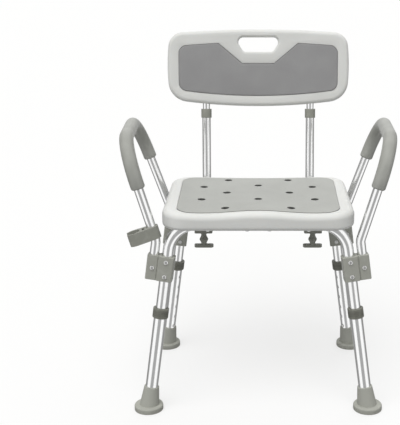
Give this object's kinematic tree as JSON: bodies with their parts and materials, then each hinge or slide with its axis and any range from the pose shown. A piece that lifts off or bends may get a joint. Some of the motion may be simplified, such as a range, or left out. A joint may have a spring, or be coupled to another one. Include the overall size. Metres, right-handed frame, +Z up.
{
  "type": "shower chair",
  "caption": "Shower chair with a padded drained seat, height-sliding backrest, looped tubular arms, splayed telescopic legs on rubber feet and a hand-shower clip.",
  "frame": {"origin": "on the floor, under the middle of the whole chair's box", "axes": "+Z up, +Y towards the backrest, +X to the right as seen from the front"},
  "size_m": [0.565, 0.4203, 0.7387],
  "materials": {
    "aluminium_tube": "satin anodised",
    "white_moulding": "fine satin grain",
    "seat_foam": "soft closed-cell foam",
    "back_foam": "soft closed-cell foam",
    "clamp_plastic": "fine grain",
    "collar_plastic": "satin",
    "bracket_plastic": "fine grain",
    "foot_rubber": "matt",
    "grip_foam": "satin vinyl",
    "fastener_steel": "polished",
    "button_steel": "polished"
  },
  "bodies": {
    "frame": {"arm_grip_left": "grip_foam", "arm_grip_right": "grip_foam", "arm_tube_left": "aluminium_tube", "arm_tube_right": "aluminium_tube", "back_collar_left": "collar_plastic", "back_collar_right": "collar_plastic", "back_saddle_left": "bracket_plastic", "back_saddle_right": "bracket_plastic", "back_tube_left": "aluminium_tube", "back_tube_right": "aluminium_tube", "bracket_screws": "fastener_steel", "clamp_back_front_left": "clamp_plastic", "clamp_back_front_right": "clamp_plastic", "clamp_back_rear_left": "clamp_plastic", "clamp_back_rear_right": "clamp_plastic", "clamp_face_front_left": "clamp_plastic", "clamp_face_front_right": "clamp_plastic", "clamp_face_rear_left": "clamp_plastic", "clamp_face_rear_right": "clamp_plastic", "clamp_nuts": "fastener_steel", "clamp_screws": "fastener_steel", "front_bow": "aluminium_tube", "knob_bracket_left": "bracket_plastic", "knob_bracket_right": "bracket_plastic", "rear_bow": "aluminium_tube", "seat_pad": "seat_foam", "seat_screws": "fastener_steel", "seat_shell": "white_moulding", "tube_plugs": "bracket_plastic"},
    "back_button_left": {"back_button_left": "button_steel"},
    "back_button_right": {"back_button_right": "button_steel"},
    "backrest": {"back_post_left": "aluminium_tube", "back_post_right": "aluminium_tube", "backrest_pad": "back_foam", "backrest_screws": "fastener_steel", "backrest_shell": "white_moulding"},
    "leg_front_left": {"foot_front_left": "foot_rubber", "leg_collar_front_left": "collar_plastic", "leg_tube_front_left": "aluminium_tube"},
    "leg_front_right": {"foot_front_right": "foot_rubber", "leg_collar_front_right": "collar_plastic", "leg_tube_front_right": "aluminium_tube"},
    "leg_rear_left": {"foot_rear_left": "foot_rubber", "leg_collar_rear_left": "collar_plastic", "leg_tube_rear_left": "aluminium_tube"},
    "leg_rear_right": {"foot_rear_right": "foot_rubber", "leg_collar_rear_right": "collar_plastic", "leg_tube_rear_right": "aluminium_tube"},
    "knob_left": {"knob_left": "collar_plastic"},
    "knob_right": {"knob_right": "collar_plastic"},
    "button_front_left": {"leg_button_front_left": "button_steel"},
    "button_front_right": {"leg_button_front_right": "button_steel"},
    "button_rear_left": {"leg_button_rear_left": "button_steel"},
    "button_rear_right": {"leg_button_rear_right": "button_steel"},
    "shower_holder": {"shower_holder": "clamp_plastic"}
  },
  "joints": [
    {"name": "leg_front_left_slide", "type": "slide", "parent": "frame", "child": "leg_front_left", "axis": [-0.1374, -0.0574, -0.9888], "range_m": [0, 0.127], "deforming": ["leg_button_front_left"]},
    {"name": "leg_button_front_left_press", "type": "slide", "parent": "frame", "child": "button_front_left", "axis": [-0.6948, -0.7059, 0.1375], "range_m": [0, 0.0037], "stiffness_N_per_m": 1500},
    {"name": "leg_front_right_slide", "type": "slide", "parent": "frame", "child": "leg_front_right", "axis": [0.1374, -0.0574, -0.9888], "range_m": [0, 0.127], "deforming": ["leg_button_front_right"]},
    {"name": "leg_button_front_right_press", "type": "slide", "parent": "frame", "child": "button_front_right", "axis": [0.6948, -0.7059, 0.1375], "range_m": [0, 0.0037], "stiffness_N_per_m": 1500},
    {"name": "leg_rear_left_slide", "type": "slide", "parent": "frame", "child": "leg_rear_left", "axis": [-0.1374, 0.0574, -0.9888], "range_m": [0, 0.127], "deforming": ["leg_button_rear_left"]},
    {"name": "leg_button_rear_left_press", "type": "slide", "parent": "frame", "child": "button_rear_left", "axis": [-0.6948, 0.7059, 0.1375], "range_m": [0, 0.0037], "stiffness_N_per_m": 1500},
    {"name": "leg_rear_right_slide", "type": "slide", "parent": "frame", "child": "leg_rear_right", "axis": [0.1374, 0.0574, -0.9888], "range_m": [0, 0.127], "deforming": ["leg_button_rear_right"]},
    {"name": "leg_button_rear_right_press", "type": "slide", "parent": "frame", "child": "button_rear_right", "axis": [0.6948, 0.7059, 0.1375], "range_m": [0, 0.0037], "stiffness_N_per_m": 1500},
    {"name": "backrest_slide", "type": "slide", "parent": "frame", "child": "backrest", "axis": [0, 0.1592, 0.9872], "range_m": [0, 0.0508], "deforming": ["back_button_left", "back_button_right"]},
    {"name": "back_button_left_press", "type": "slide", "parent": "backrest", "child": "back_button_left", "axis": [0, -0.9872, 0.1592], "range_m": [0, 0.0036], "stiffness_N_per_m": 1500},
    {"name": "back_button_right_press", "type": "slide", "parent": "backrest", "child": "back_button_right", "axis": [0, -0.9872, 0.1592], "range_m": [0, 0.0036], "stiffness_N_per_m": 1500},
    {"name": "knob_left_turn", "type": "hinge", "parent": "frame", "child": "knob_left", "pos_m": [-0.117, -0.00549, 0.32898], "axis": [0, 0, 1], "continuous": true},
    {"name": "knob_right_turn", "type": "hinge", "parent": "frame", "child": "knob_right", "pos_m": [0.117, -0.00549, 0.32898], "axis": [0, 0, 1], "continuous": true},
    {"name": "holder_swivel", "type": "hinge", "parent": "frame", "child": "shower_holder", "pos_m": [-0.20786, -0.15849, 0.37467], "axis": [-0.2812, 0, 0.9597], "range_deg": [-60, 70]}
  ]
}
